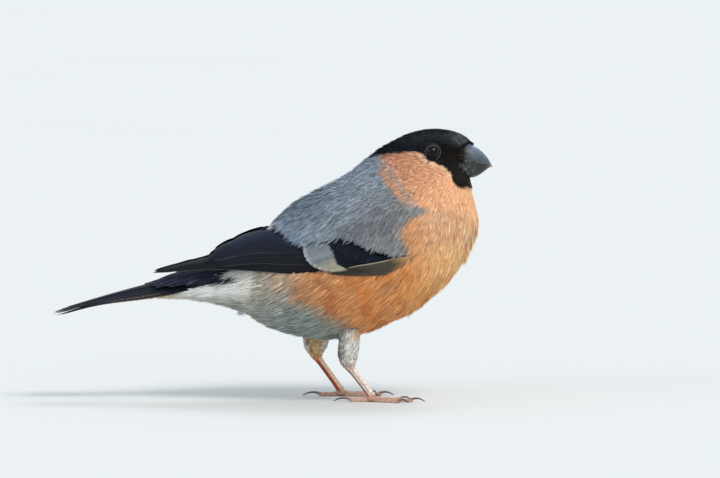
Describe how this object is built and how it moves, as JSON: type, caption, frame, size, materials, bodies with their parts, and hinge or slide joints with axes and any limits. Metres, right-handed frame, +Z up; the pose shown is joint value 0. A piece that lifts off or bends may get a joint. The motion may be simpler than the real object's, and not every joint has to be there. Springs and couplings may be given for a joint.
{
  "type": "bullfinch",
  "caption": "Standing male bullfinch: stout black-capped head and bill, deep breast, folded wings, long tail, two perching feet on one level.",
  "frame": {"origin": "middle of the bird's length and width, on the ground it stands on", "axes": "+X the way the bird faces, +Y its left side, +Z up"},
  "size_m": [0.1432, 0.048, 0.0882],
  "materials": {
    "body_plumage": "soft feathers, orange-pink below, blue-grey above, white under the tail",
    "neck_plumage": "soft feathers, orange-pink cheek and throat, blue-grey nape",
    "cap_plumage": "short close feathers, glossy blue-black cap and bib",
    "flight_feathers": "smooth black vanes with a dark blue gloss, pale bar on the greater coverts",
    "leg_plumage": "short pale grey-buff feathers",
    "leg_scales": "pinkish brown scales",
    "horn": "glossy dark slate horn",
    "eye": "wet, near-black brown"
  },
  "bodies": {
    "root": {"trunk": "body_plumage", "neck": "neck_plumage", "head": "cap_plumage", "bill_upper": "horn", "bill_lower": "horn", "eye_right": "eye", "eye_left": "eye", "wing_right": "flight_feathers", "wing_left": "flight_feathers", "tail": "flight_feathers", "thigh_right": "leg_plumage", "tarsus_right": "leg_scales", "foot_right": "leg_scales", "thigh_left": "leg_plumage", "tarsus_left": "leg_scales", "foot_left": "leg_scales"}
  },
  "joints": []
}
